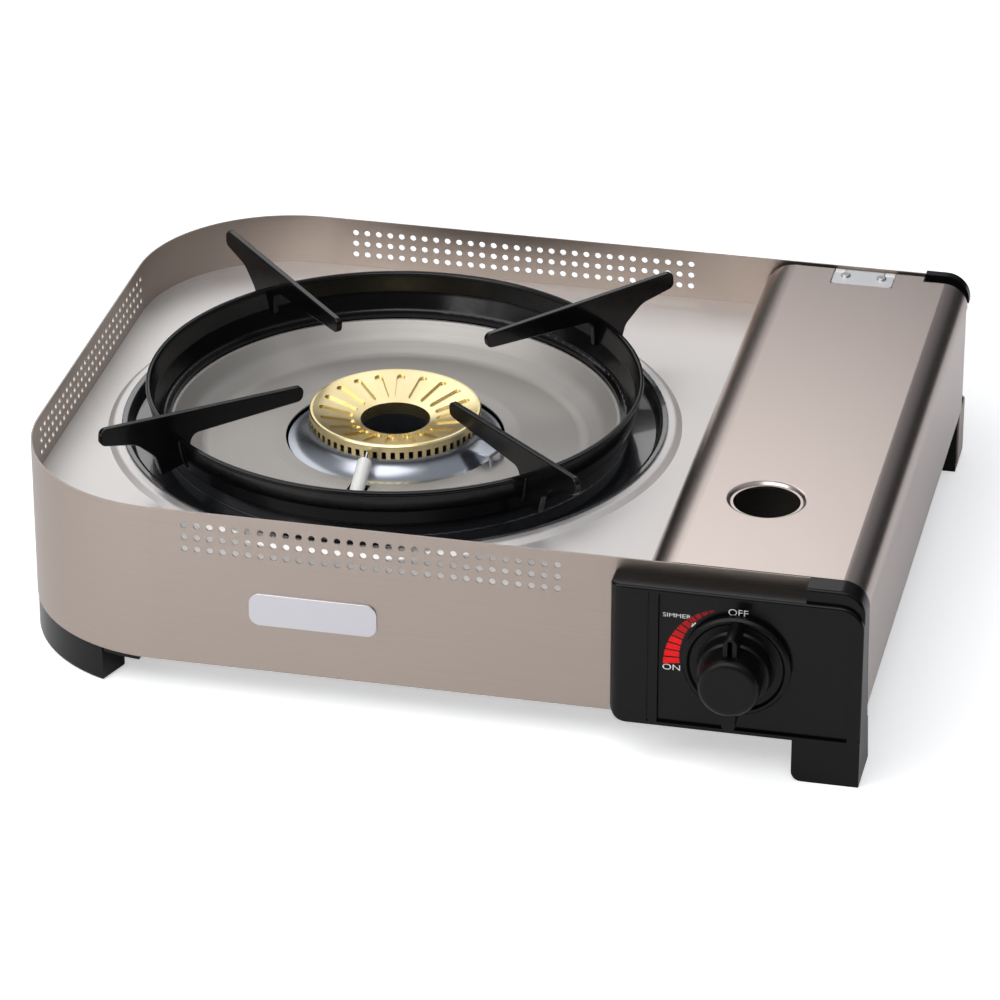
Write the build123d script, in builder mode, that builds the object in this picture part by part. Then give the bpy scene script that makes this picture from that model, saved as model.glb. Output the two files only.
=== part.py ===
"""Butane cassette stove: windbreak body with an enamel pan support on the left and a cartridge
bay with a hinged cover on the right. Millimetres, +Z up. The origin is on the floor, under the
middle of the whole stove, and the control knob faces -Y."""

from build123d import *
import math
import os

os.makedirs("parts", exist_ok=True)

# ---- body ----
body_width = 340.0
body_depth = 270.0
wall_top = 80.9
wall_bottom = 15.1
wall_sheet = 0.6
corner_radius = 63.6
sheet_gap = 0.05              # between nested sheet parts that are spot welded or screwed
front_wall_short = 10.0       # the front wall stops this far from the right side
vent_diameter = 2.6
vent_pitch = 5.0
vent_rows = 3
vent_first_row = 6.0          # below the top of the wall
vent_columns = 30
side_vent_columns = 31
vent_from_burner = 21.6       # middle of the vent rows, to the right of the burner
side_vent_from_front = 140.2

# ---- front panel and knob ----
panel_width = 95.9
panel_depth = 11.4
panel_bottom = 17.4
panel_top = 75.8
panel_block_width = 22.1
panel_block_rise = 5.6
panel_block_depth = 9.4
panel_wall = 2.2
panel_foot_width = 25.7
panel_foot_reach = 12.4       # how far the foot runs back behind the front wall
plate_width = 72.2
plate_from_right = 5.0
plate_from_bottom = 1.4
plate_from_top = 2.0
plate_recess = 1.5
plate_thickness = 1.0
knob_from_right = 47.2
knob_z = 47.1
knob_reach = 20.0             # from the panel's face to the front of the knob
knob_skirt_radius = 20.5
knob_cap_radius = 11.7
knob_turn = 95.0
spindle_radius = 3.0
running_gap = 0.05

# ---- burner side ----
burner_off_middle = 1.3       # the burner's axis, to the right of its side's middle
burner_from_front = 130.3
plate_top = 59.6
plate_sheet = 0.6
rim_margin = 11.9             # between the raised rim's foot and the side of the plate
rim_width = 6.0
rim_height = 1.8
rim_slope = 2.4                # across the rim's outer slope
channel_floor = 55.4
channel_inner_overlap = 2.8   # how far the channel's floor runs in under the dish
tray_lip_overlap = 0.6        # of the tray's lip over the plate's rim
tray_sheet = 1.0
tray_clearance = 0.4            # between the tray and the channel under it
ring_inset = 24.5             # the ring's seat, inside the rim's foot
ring_flare = 9.1
ring_height = 17.4
ring_seat = 62.5
ring_sheet = 1.4
seat_clearance = 0.4          # of the dish's rim below the ring
dish_overlap = 0.5            # of the dish's rim outside the ring's inner edge
dish_gap = 1.4                # between the dish's rim and the tray round it
bowl_hole_gap = 1.0
bowl_hole_level = 53.8
bowl_low_inset = 14.8
bowl_low_level = 50.6
bowl_sheet = 0.6
arm_count = 4
arm_thickness = 2.6
arm_overhang = 33.8           # outer tip, beyond the ring's top edge
arm_inner_radius = 42.3
arm_top_outer = 92.9
arm_top_inner = 87.6
burner_top = 66.5
burner_dish = 5.1             # the cap's hole lies this much below its outer edge
burner_rim_low = 60.4
burner_radius = 34.5
burner_hole_radius = 14.0
flare_radius = 43.0           # the casting's skirt, just inside the dish's hole
burner_groove_count = 20
burner_port_count = 60
mixer_level = 36.0
mixer_radius = 9.0
mixer_angle = -35.4           # in plan, from the burner towards the gas jet
casting_leg_reach = 25.0      # from the burner's axis to the casting's two legs

# ---- cartridge bay ----
bay_width = 86.6              # from the partition to the right side
bay_side_gap = 5.0
bay_wall_right = 30.0         # top of the low wall on the right
bay_sheet = 0.8
bay_floor = 9.6
canister_radius = 34.0
canister_length = 190.0
canister_gap = 0.4            # under the cartridge
governor_radius = 19.0
governor_from_front = 4.0
governor_length = 27.0
socket_radius = 21.0
socket_depth = 4.0
bay_from_front = 9.0

# ---- cover and rear end ----
cover_width = 86.9
cover_side_lean = 2.4         # the left skirt leans in by this much over its height
cover_left_bend = 13.0
cover_right_bend = 10.0
cover_sheet = 0.8
cover_side_low = 26.3
cover_front_gap = 0.5
hinge_from_back = 3.6
hinge_drop = 2.7              # axis below the cover's top
hinge_from_right = 43.7
hinge_width = 25.0
hinge_knuckle = 16.0
hinge_barrel_radius = 2.5
hinge_pin_radius = 1.4
cover_swing_gap = 0.5
rear_block_width = 18.5
rear_block_top = 82.5
rear_cap_depth = 3.9
foot_width = 14.0
flange_bend_radius = 3.0

# ---- derived places ----
overall_depth = body_depth + panel_depth + knob_reach
half_width = body_width / 2
bay_left = half_width - bay_width
bay_right = half_width - bay_side_gap
burner_x = (bay_left - half_width) / 2 + burner_off_middle
knob_x = half_width - knob_from_right
hinge_x = half_width - hinge_from_right
cover_left = half_width - cover_width
rear_block_left = half_width - rear_block_width
front_wall_end = half_width - front_wall_short
vent_center_x = burner_x + vent_from_burner
panel_left = half_width - panel_width
panel_block_left = half_width - panel_block_width
panel_foot_left = half_width - panel_foot_width
plate_right = half_width - plate_from_right
plate_left = plate_right - plate_width
plate_low = panel_bottom + plate_from_bottom
plate_high = panel_top - plate_from_top
rim_radius = (bay_left + half_width) / 2 - rim_margin
rim_inner_radius = rim_radius - rim_width
ring_seat_radius = rim_radius - ring_inset
ring_top_radius = ring_seat_radius + ring_flare
ring_top = ring_seat + ring_height
bowl_rim_radius = ring_seat_radius + dish_overlap
bowl_rim = ring_seat - seat_clearance - bowl_sheet
bowl_low_radius = bowl_rim_radius - bowl_low_inset
channel_inner_radius = bowl_rim_radius - channel_inner_overlap
bowl_hole_radius = flare_radius + bowl_hole_gap
arm_outer_radius = ring_top_radius + arm_overhang
back_y = overall_depth / 2
front_y = back_y - body_depth
mid_y = (front_y + back_y) / 2
inner_front_y = front_y + wall_sheet
inner_back_y = back_y - wall_sheet
panel_front_y = front_y - panel_depth
wall_height = wall_top - wall_bottom
nest = wall_sheet + sheet_gap
burner_y = front_y + burner_from_front
burner_axis = Axis((burner_x, burner_y, 0), (0, 0, 1))
burner_section = Plane(origin=(burner_x, burner_y, 0), x_dir=(1, 0, 0), z_dir=(0, -1, 0))
canister_z = bay_floor + bay_sheet + canister_gap + canister_radius
governor_y = front_y + governor_from_front
socket_y = governor_y + governor_length
bay_front_y = front_y + bay_from_front
hinge_y = back_y - hinge_from_back
hinge_z = wall_top - hinge_drop
hinge_axis_plane = Plane(origin=(0, hinge_y, hinge_z), x_dir=(0, 1, 0), z_dir=(1, 0, 0))
cover_front_y = inner_front_y + cover_front_gap
cover_swing_radius = hinge_y - cover_front_y
cap_front_y = inner_back_y - rear_cap_depth
plate_face_y = panel_front_y + plate_recess


def knob_plane(y):
    """Plane facing the user at the knob's axis, with its local x to the right and y up."""
    return Plane(origin=(knob_x, y, knob_z), x_dir=(1, 0, 0), z_dir=(0, -1, 0))


def front_plane(y):
    """Plane facing the user at the given depth, with local x = X and local y = Z."""
    return Plane(origin=(0, y, 0), x_dir=(1, 0, 0), z_dir=(0, -1, 0))


def body_plan(inset, right_x):
    """Outline of the burner side, rounded at its two left corners and cut off at right_x."""
    width = right_x + half_width - inset
    with Locations((right_x - width / 2, mid_y)):
        Rectangle(width, body_depth - 2 * inset)
    fillet(vertices().group_by(Axis.X)[0], radius=corner_radius - inset)


def block_plan(x0, x1, y0, y1, mode=Mode.ADD):
    """Rectangle given by its two ends along each axis of the sketch."""
    with Locations(((x0 + x1) / 2, (y0 + y1) / 2)):
        Rectangle(x1 - x0, y1 - y0, mode=mode)


def block(x, y, z, mode=Mode.ADD):
    """Box given by its two ends along each axis."""
    with Locations(((x[0] + x[1]) / 2, (y[0] + y[1]) / 2, (z[0] + z[1]) / 2)):
        Box(x[1] - x[0], y[1] - y[0], z[1] - z[0], mode=mode)


def sheet_section(points, thickness, radii):
    """Section of a bent sheet: a line through the points, rounded, and thickened to its left."""
    with BuildLine() as section:
        FilletPolyline(*points, radius=radii)
        offset(amount=thickness, side=Side.LEFT)
    make_face(section.edges())


def corner_sector(center, outer, inner, middle_angle, sweep):
    """Part of a ring about a body corner's centre."""
    with BuildLine() as outline:
        far = CenterArc(center, outer, middle_angle - sweep / 2, sweep)
        near = CenterArc(center, inner, middle_angle - sweep / 2, sweep)
        Line(far @ 0, near @ 0)
        Line(far @ 1, near @ 1)
    make_face(outline.edges())


def save(builder, label):
    """Name a finished piece and write its STEP file."""
    builder.part.label = label
    export_step(builder.part, f"parts/{label}.step")


# ---------------------------------------------------------------- windbreak
flange_outer_x = half_width - cover_sheet - 0.3
flange_width = 8.0
flange_bottom = cover_side_low
leg_width = 18.0
leg_bottom = 3.0
flange_top = 71.0
spindle_window_radius = 12.0
panel_post_x = (plate_left - 4.6, front_wall_end - 5.0)
panel_post_z = (26.0, 68.0)
panel_posts = [(x, z) for x in panel_post_x for z in panel_post_z]
governor_post_reach = 22.0
governor_posts = [(knob_x, canister_z - governor_post_reach), (knob_x, canister_z + governor_post_reach)]
screw_radius = 1.5
screw_head_radius = 3.0
screw_head_height = 1.4
screw_length = 8.0

with BuildPart() as windbreak_shell:
    with BuildSketch(Plane.XY.offset(wall_bottom)):
        block_plan(-half_width, flange_outer_x, front_y, back_y)
        fillet(vertices().group_by(Axis.X)[0], radius=corner_radius)
        fillet(vertices().group_by(Axis.X)[-1], radius=flange_bend_radius)
        offset(amount=-wall_sheet, mode=Mode.SUBTRACT)
        block_plan(front_wall_end, half_width, front_y - 1, back_y - flange_width, mode=Mode.SUBTRACT)
    extrude(amount=wall_height)
    block((flange_outer_x - 2 * flange_bend_radius, half_width), (back_y - 2 * flange_width, back_y),
          (wall_bottom, flange_bottom), mode=Mode.SUBTRACT)
    # the leg round the rear right foot, below the cover's side
    with BuildSketch(Plane.XY.offset(leg_bottom)):
        block_plan(rear_block_left, half_width, front_y, back_y)
        fillet(vertices().group_by(Axis.X)[-1].sort_by(Axis.Y)[-1], radius=flange_bend_radius)
        offset(amount=-wall_sheet, mode=Mode.SUBTRACT)
        block_plan(rear_block_left, half_width, front_y, back_y - leg_width, mode=Mode.SUBTRACT)
        block_plan(0, rear_block_left + wall_sheet, front_y, inner_back_y, mode=Mode.SUBTRACT)
    extrude(amount=flange_bottom - leg_bottom)
    # the flange stops under the cover's bend, and the rear wall dips for the moulded block
    with BuildSketch(front_plane(back_y + 1)):
        block_plan(rear_block_left, half_width, flange_top, wall_top + 1)
    extrude(amount=body_depth / 2, mode=Mode.SUBTRACT)
    with BuildSketch(front_plane(front_y)):
        with Locations((knob_x, knob_z)):
            Circle(spindle_window_radius)
        with Locations(*panel_posts, *governor_posts):
            Circle(screw_radius)
    extrude(amount=-wall_sheet, mode=Mode.SUBTRACT)
    row_middle = wall_top - vent_first_row - vent_pitch * (vent_rows - 1) / 2
    for wall_y in (front_y, inner_back_y):
        with BuildSketch(front_plane(wall_y)):
            with Locations((vent_center_x, row_middle)):
                with GridLocations(vent_pitch, vent_pitch, vent_columns, vent_rows):
                    Circle(vent_diameter / 2)
        extrude(amount=-wall_sheet, mode=Mode.SUBTRACT)
    with BuildSketch(Plane.YZ.offset(-half_width)):
        with Locations((front_y + side_vent_from_front, row_middle)):
            with GridLocations(vent_pitch, vent_pitch, side_vent_columns, vent_rows):
                Circle(vent_diameter / 2)
    extrude(amount=wall_sheet, mode=Mode.SUBTRACT)
save(windbreak_shell, "windbreak_shell")

badge_width = 50.2
badge_height = 13.6
badge_thickness = 0.8
badge_z = 42.1
with BuildPart() as badge_plate:
    with BuildSketch(front_plane(front_y)):
        with Locations((burner_x - 0.9, badge_z)):
            RectangleRounded(badge_width, badge_height, 4.2)
    extrude(amount=badge_thickness)
    fillet(faces().sort_by(Axis.Y)[0].edges(), radius=0.3)
save(badge_plate, "badge_plate")

# ---------------------------------------------------------------- base pan and left feet
pan_sheet = 0.8
pan_flange = 10.0
pan_right_x = bay_left - sheet_gap
foot_angle = 48.6
foot_ledge = 2.0
foot_ledge_angle = 78.0
foot_middle_radius = corner_radius - foot_width / 2 - 0.3
left_corner_x = corner_radius - half_width
front_corner = (left_corner_x, front_y + corner_radius)
rear_corner = (left_corner_x, back_y - corner_radius)
foot_spots = []
for corner, middle_angle in ((front_corner, 225), (rear_corner, 135)):
    for side in (-1, 1):
        angle = math.radians(middle_angle + side * foot_angle / 3)
        foot_spots.append((corner[0] + foot_middle_radius * math.cos(angle),
                           corner[1] + foot_middle_radius * math.sin(angle)))

def radial_point(radius, angle, height):
    """Point at a radius and angle about the burner's axis."""
    return Vector(burner_x + radius * math.cos(math.radians(angle)),
                  burner_y + radius * math.sin(math.radians(angle)), height)


leg_angles = [mixer_angle + 180 + side * 50 for side in (-1, 1)]
leg_spots = [tuple(radial_point(casting_leg_reach, angle, 0))[:2] for angle in leg_angles]

with BuildPart() as base_pan:
    with BuildSketch(Plane.XY.offset(wall_bottom)):
        body_plan(nest, pan_right_x)
    extrude(amount=pan_flange)
    with BuildSketch(Plane.XY.offset(wall_bottom + pan_sheet)):
        body_plan(nest + pan_sheet, pan_right_x - pan_sheet)
    extrude(amount=pan_flange, mode=Mode.SUBTRACT)
    with BuildSketch(Plane.XY.offset(wall_bottom)):
        with Locations(*foot_spots, *leg_spots):
            Circle(screw_radius)
    extrude(amount=pan_sheet, mode=Mode.SUBTRACT)
save(base_pan, "base_pan")


def build_corner_foot(corner, middle_angle, spots):
    """Moulded foot that follows a rounded corner of the body, with a thin ledge under the pan."""
    with BuildPart() as foot:
        with BuildSketch(Plane.XY):
            corner_sector(corner, corner_radius - 0.3, corner_radius - 0.3 - foot_width,
                          middle_angle, foot_angle)
        extrude(amount=wall_bottom)
        fillet(faces().sort_by(Axis.Z)[0].edges(), radius=1.2)
        with BuildSketch(Plane.XY.offset(wall_bottom - foot_ledge)):
            corner_sector(corner, corner_radius - 0.9, corner_radius - foot_width + 2,
                          middle_angle, foot_ledge_angle)
        extrude(amount=foot_ledge)
        with BuildSketch(Plane.XY.offset(wall_bottom)):
            with Locations(*spots):
                Circle(screw_radius)
        extrude(amount=-screw_length, mode=Mode.SUBTRACT)
    return foot


save(build_corner_foot(front_corner, 225, foot_spots[:2]), "front_left_foot")
save(build_corner_foot(rear_corner, 135, foot_spots[2:]), "rear_left_foot")

with BuildPart() as foot_screws:
    with BuildSketch(Plane.XY.offset(wall_bottom + pan_sheet)):
        with Locations(*foot_spots):
            Circle(screw_head_radius)
    extrude(amount=screw_head_height)
    with BuildSketch(Plane.XY.offset(wall_bottom + pan_sheet)):
        with Locations(*foot_spots):
            Circle(screw_radius - sheet_gap)
    extrude(amount=-screw_length)
save(foot_screws, "foot_screws")

# ---------------------------------------------------------------- top plate and bowl
plate_flange = 6.0
plate_right_x = bay_left + bay_sheet + sheet_gap + plate_sheet
channel_radius = rim_inner_radius - plate_sheet
tray_lip_radius = rim_inner_radius + tray_lip_overlap
with BuildPart() as top_plate:
    with BuildSketch(Plane.XY.offset(plate_top - plate_flange)):
        body_plan(nest, plate_right_x)
    extrude(amount=plate_flange)
    with BuildSketch(Plane.XY.offset(plate_top - plate_flange)):
        body_plan(nest + plate_sheet, plate_right_x - plate_sheet)
    extrude(amount=plate_flange - plate_sheet, mode=Mode.SUBTRACT)
    with BuildSketch(Plane.XY.offset(plate_top)):
        with Locations((burner_x, burner_y)):
            Circle(rim_radius)
    extrude(amount=-plate_sheet, mode=Mode.SUBTRACT)
    with BuildSketch(burner_section):
        sheet_section([(rim_radius + 0.6, plate_top - plate_sheet),
                       (rim_radius, plate_top - plate_sheet),
                       (rim_radius - rim_slope, plate_top + rim_height - plate_sheet),
                       (channel_radius, plate_top + rim_height - plate_sheet),
                       (channel_radius, channel_floor),
                       (channel_inner_radius, channel_floor)][::-1],
                      plate_sheet, [1.2, 0.9, 1.6, 0.2])
    revolve(axis=burner_axis)
save(top_plate, "top_plate")

# the dish stands on the channel's floor with its outer skirt
skirt_radius = bowl_rim_radius - bowl_sheet
bowl_curve = [(bowl_hole_radius, bowl_hole_level),
              (bowl_hole_radius + 6, bowl_hole_level),
              (bowl_low_radius, bowl_low_level),
              (bowl_low_radius + 8.5, bowl_low_level + 5.0),
              (skirt_radius - 1.0, bowl_rim),
              (skirt_radius, bowl_rim),
              (skirt_radius, channel_floor + plate_sheet)]
electrode_angle = -94.0
electrode_slot = 8.0
electrode_slot_end = 66.0


def radial_plane(angle, height=0.0):
    """Upright plane through the burner's axis: local x runs outward and local y runs up."""
    c = math.cos(math.radians(angle))
    s = math.sin(math.radians(angle))
    return Plane(origin=(burner_x, burner_y, height), x_dir=(c, s, 0), z_dir=(s, -c, 0))


with BuildPart() as reflector_bowl:
    with BuildSketch(burner_section):
        sheet_section(bowl_curve, bowl_sheet, [6.0, 7.0, 9.0, 0.4, 0.4])
    revolve(axis=burner_axis)
    with BuildSketch(Plane(origin=(burner_x, burner_y, 0),
                           x_dir=radial_point(1, electrode_angle, 0) - radial_point(0, 0, 0))):
        with Locations(((bowl_hole_radius - electrode_slot + electrode_slot_end) / 2, 0)):
            SlotOverall(electrode_slot_end - bowl_hole_radius + electrode_slot, electrode_slot)
    extrude(amount=plate_top, mode=Mode.SUBTRACT)
save(reflector_bowl, "reflector_bowl")

# ---------------------------------------------------------------- drip tray and pan support
tray_lip_level = plate_top + rim_height
tray_floor = channel_floor + plate_sheet + tray_clearance
tray_wall_radius = channel_radius - plate_sheet - tray_clearance
tray_inner_radius = bowl_rim_radius + dish_gap
with BuildPart() as drip_tray:
    with BuildSketch(burner_section):
        sheet_section([(tray_inner_radius, ring_seat),
                       (tray_inner_radius, tray_floor),
                       (tray_wall_radius - 1.6, tray_floor),
                       (tray_wall_radius, tray_lip_level),
                       (tray_lip_radius, tray_lip_level)],
                      tray_sheet, [1.8, 1.6, 0.5])
    revolve(axis=burner_axis)
    fillet(edges().filter_by(GeomType.CIRCLE).sort_by(SortBy.RADIUS)[-2:], radius=0.4)
save(drip_tray, "drip_tray")

with BuildPart() as pan_support_ring:
    with BuildSketch(burner_section):
        sheet_section([(ring_seat_radius, ring_seat + ring_sheet),
                       (ring_seat_radius + 3.0, ring_seat + ring_sheet),
                       (ring_seat_radius + 6.0, ring_seat + ring_height / 2),
                       (ring_top_radius - 1.5, ring_top)][::-1],
                      ring_sheet, [6.0, 1.8])
    revolve(axis=burner_axis)
    bead_radius = 1.1
    with BuildSketch(burner_section):
        with Locations((ring_top_radius - bead_radius, ring_top - bead_radius)):
            Circle(bead_radius)
    revolve(axis=burner_axis)
save(pan_support_ring, "pan_support_ring")

web_outer_radius = ring_top_radius + 10.6
web_inner_radius = ring_seat_radius + 3.5
web_foot = ring_seat + 3.5
arm_outer_tip = 7.0
arm_inner_tip = 6.2
for number in range(1, arm_count + 1):
    arm_angle = 45 + 360 / arm_count * (number - 1)
    with BuildPart() as arm:
        with BuildSketch(radial_plane(arm_angle)):
            with BuildLine():
                FilletPolyline((arm_outer_radius, arm_top_outer),
                               (arm_inner_radius, arm_top_inner),
                               (arm_inner_radius + 1.0, arm_top_inner - arm_inner_tip),
                               (web_inner_radius, arm_top_inner - arm_inner_tip - 1.0),
                               (web_inner_radius + 0.6, web_foot + 3.0),
                               (web_outer_radius - 2.6, web_foot),
                               (web_outer_radius, web_foot + 9.0),
                               (web_outer_radius + 8.0, arm_top_outer - arm_outer_tip - 3.6),
                               (arm_outer_radius + 0.4, arm_top_outer - arm_outer_tip),
                               radius=[2.6, 2.6, 2.6, 4.0, 1.0, 1.0, 6.0, 10.0, 2.6], close=True)
            make_face()
        extrude(amount=arm_thickness / 2, both=True)
        fillet(edges().filter_by(GeomType.LINE).group_by(SortBy.LENGTH)[-1], radius=0.5)
        add(pan_support_ring.part, mode=Mode.SUBTRACT)
    save(arm, f"pan_support_arm_{number}")

# ---------------------------------------------------------------- burner
cap_hub_low = burner_rim_low - 4.0
chamber_floor = 43.0
chamber_inner = 17.0
chamber_outer = 31.6
casting_bottom = 40.0
casting_leg_radius = 4.0
mixer_wall = 0.8
mixer_start = 22.0
mixer_end = 125.0
boss_wall = 2.4
lug_reach = 62.0
lug_width = 9.0
lug_height = 6.4
insulator_radius = 2.9
insulator_tip = (38.8, 62.2)  # radius and height of its upper end
insulator_tail = (60.4, 46.8)
wire_radius = 0.6
wire_reach = 3.0              # beyond each end of the insulator
mixer_section = radial_plane(mixer_angle, mixer_level)
pan_floor = wall_bottom + pan_sheet


def mixer_plane(radius):
    """Plane across the mixing tube at a distance from the burner's axis, facing outward."""
    start = radial_point(radius, mixer_angle, mixer_level)
    return Plane(origin=start, z_dir=start - radial_point(0, mixer_angle, mixer_level))


insulator_top = radial_point(insulator_tip[0], electrode_angle, insulator_tip[1])
insulator_end = radial_point(insulator_tail[0], electrode_angle, insulator_tail[1])
insulator_line = (insulator_top - insulator_end).normalized()
insulator_length = (insulator_top - insulator_end).length
insulator_plane = Plane(origin=insulator_end, z_dir=insulator_line)

with BuildPart() as burner_body:
    with BuildSketch(burner_section):
        with BuildLine():
            flare = Spline((burner_radius - 0.6, burner_rim_low),
                           (burner_radius + 1.2, burner_rim_low - 3.8),
                           (flare_radius - 3.4, burner_rim_low - 6.6),
                           (flare_radius, burner_rim_low - 7.4),
                           tangents=((0.1, -1), (1, -0.1)))
            Polyline(flare @ 1, (flare_radius, burner_rim_low - 8.6),
                     (flare_radius - 3.0, burner_rim_low - 9.4), (burner_radius - 0.6, burner_rim_low - 12.0),
                     (burner_radius - 0.6, casting_bottom), (burner_hole_radius, casting_bottom),
                     (burner_hole_radius, cap_hub_low), (chamber_inner, cap_hub_low),
                     (chamber_inner, chamber_floor), (chamber_outer, chamber_floor),
                     (chamber_outer, burner_rim_low), flare @ 0)
        make_face()
    revolve(axis=burner_axis)
    # the lug that carries the electrode
    with BuildSketch(radial_plane(electrode_angle)):
        block_plan(chamber_outer + 1, lug_reach, chamber_floor, chamber_floor + lug_height)
    extrude(amount=lug_width / 2, both=True)
    with BuildSketch(Plane.XY.offset(pan_floor)):
        with Locations(*leg_spots):
            Circle(casting_leg_radius)
    extrude(amount=casting_bottom - pan_floor)
    # the socket for the mixing tube, open into the chamber
    with BuildSketch(mixer_plane(burner_hole_radius + 1)):
        Circle(mixer_radius + boss_wall)
    extrude(amount=chamber_outer - burner_hole_radius - 1)
    with BuildSketch(burner_section):
        block_plan(chamber_inner, chamber_outer, chamber_floor, burner_rim_low)
    revolve(axis=burner_axis, mode=Mode.SUBTRACT)
    with BuildSketch(mixer_plane(burner_hole_radius + 1 + boss_wall)):
        Circle(mixer_radius)
    extrude(amount=chamber_outer, mode=Mode.SUBTRACT)
    with BuildSketch(burner_section):
        block_plan(0, burner_hole_radius, mixer_level - 2 * mixer_radius, burner_rim_low)
    revolve(axis=burner_axis, mode=Mode.SUBTRACT)
    with BuildSketch(radial_plane(mixer_angle)):
        block_plan(chamber_inner + 2, chamber_outer - 2, mixer_level, chamber_floor + 1)
    extrude(amount=mixer_radius / 2, both=True, mode=Mode.SUBTRACT)
    with BuildSketch(insulator_plane.offset(-lug_width)):
        Circle(insulator_radius)
    extrude(amount=insulator_length + lug_width, mode=Mode.SUBTRACT)
    with BuildSketch(Plane.XY.offset(pan_floor)):
        with Locations(*leg_spots):
            Circle(screw_radius)
    extrude(amount=screw_length, mode=Mode.SUBTRACT)
save(burner_body, "burner_body")

cap_band = 2.8
cap_slot_width = 1.8
cap_slot_depth = 3.2
cap_crest_radius = burner_radius - 1.4
cap_groove_length = 14.6
cap_groove_width = 3.4
cap_groove_depth = 0.9
cap_skirt = 2.6
with BuildPart() as burner_cap:
    with BuildSketch(burner_section):
        with BuildLine():
            Polyline((burner_hole_radius, burner_top - burner_dish), (cap_crest_radius, burner_top),
                     (burner_radius - 0.5, burner_top), (burner_radius, burner_top - 0.5),
                     (burner_radius, burner_rim_low), (burner_radius - cap_skirt, burner_rim_low),
                     (burner_radius - cap_skirt, burner_top - cap_band), (chamber_inner, burner_rim_low - 1.4),
                     (chamber_inner, cap_hub_low), (burner_hole_radius, cap_hub_low), close=True)
        make_face()
    revolve(axis=burner_axis)
    with BuildSketch(Plane(origin=(burner_x, burner_y, burner_rim_low))):
        with PolarLocations(burner_radius - cap_skirt / 2, burner_port_count):
            Rectangle(2 * cap_skirt, cap_slot_width)
    extrude(amount=cap_slot_depth, mode=Mode.SUBTRACT)
    # the pressed channels slope with the dished top
    for number in range(burner_groove_count):
        groove_angle = 360 / burner_groove_count * (number + 0.5)
        inner_end = radial_point(burner_hole_radius, groove_angle, burner_top - burner_dish)
        outer_end = radial_point(cap_crest_radius, groove_angle, burner_top)
        slope = (outer_end - inner_end).normalized()
        across = radial_plane(groove_angle).z_dir
        with BuildSketch(Plane(origin=(inner_end + outer_end) / 2, x_dir=slope, z_dir=across.cross(slope))):
            SlotOverall(cap_groove_length, cap_groove_width)
        extrude(amount=cap_groove_depth, both=True, mode=Mode.SUBTRACT)
save(burner_cap, "burner_cap")

with BuildPart() as mixing_tube:
    with BuildSketch(mixer_plane(mixer_start)):
        Circle(mixer_radius)
        Circle(mixer_radius - mixer_wall, mode=Mode.SUBTRACT)
    extrude(amount=mixer_end - mixer_start)
save(mixing_tube, "mixing_tube")

shutter_overlap = 15.0
shutter_front = 6.0
shutter_start = mixer_end - shutter_overlap
shutter_end = mixer_end + shutter_front
shutter_wall = 1.2
jet_nose_radius = 3.5
with BuildPart() as air_shutter:
    with BuildSketch(mixer_plane(shutter_start)):
        Circle(mixer_radius + shutter_wall)
    extrude(amount=shutter_end - shutter_start)
    with BuildSketch(mixer_plane(shutter_start)):
        Circle(mixer_radius)
    extrude(amount=shutter_end - shutter_start - shutter_wall, mode=Mode.SUBTRACT)
    with BuildSketch(mixer_plane(shutter_end)):
        Circle(jet_nose_radius)
    extrude(amount=-2 * shutter_wall, mode=Mode.SUBTRACT)
    with BuildSketch(mixer_plane(mixer_end + 0.6)):
        Rectangle(3 * mixer_radius, mixer_radius)
    extrude(amount=shutter_end - mixer_end - 2 * shutter_wall, mode=Mode.SUBTRACT)
save(air_shutter, "air_shutter")

jet_length = 9.0
jet_hex = 5.5
jet_tip = 3.0
with BuildPart() as gas_jet:
    with BuildSketch(mixer_plane(shutter_end)):
        RegularPolygon(jet_hex, 6)
    extrude(amount=jet_length)
    with BuildSketch(mixer_plane(shutter_end)):
        Circle(jet_nose_radius)
    extrude(amount=-jet_tip)
    with BuildSketch(mixer_plane(shutter_end - jet_tip)):
        Circle(wire_radius / 2)
    extrude(amount=jet_length, mode=Mode.SUBTRACT)
save(gas_jet, "gas_jet")

bracket_sheet = 1.2
bracket_radius = 96.0
bracket_width = 28.0
bracket_foot = 14.0
with BuildPart() as mixer_bracket:
    with BuildSketch(mixer_section):
        block_plan(bracket_radius, bracket_radius + bracket_sheet, pan_floor - mixer_level,
                   mixer_radius + 3)
        block_plan(bracket_radius - bracket_foot, bracket_radius + bracket_sheet / 2,
                   pan_floor - mixer_level, pan_floor - mixer_level + bracket_sheet)
    extrude(amount=bracket_width / 2, both=True)
    with BuildSketch(mixer_plane(bracket_radius - 1)):
        Circle(mixer_radius)
    extrude(amount=bracket_sheet + 2, mode=Mode.SUBTRACT)
save(mixer_bracket, "mixer_bracket")

with BuildPart() as burner_screws:
    with BuildSketch(Plane.XY.offset(wall_bottom)):
        with Locations(*leg_spots):
            Circle(screw_head_radius)
    extrude(amount=-screw_head_height)
    with BuildSketch(Plane.XY.offset(wall_bottom)):
        with Locations(*leg_spots):
            Circle(screw_radius - sheet_gap)
    extrude(amount=screw_length)
save(burner_screws, "burner_screws")

with BuildPart() as electrode_insulator:
    with BuildSketch(insulator_plane):
        Circle(insulator_radius)
    extrude(amount=insulator_length)
    fillet(faces().sort_by(Axis(insulator_end, insulator_line))[-1].edges(), radius=1.6)
    with BuildSketch(insulator_plane):
        Circle(wire_radius)
    extrude(amount=insulator_length, mode=Mode.SUBTRACT)
save(electrode_insulator, "electrode_insulator")

with BuildPart() as electrode:
    with BuildSketch(insulator_plane.offset(-wire_reach)):
        Circle(wire_radius)
    extrude(amount=insulator_length + 2 * wire_reach)
save(electrode, "electrode")

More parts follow.
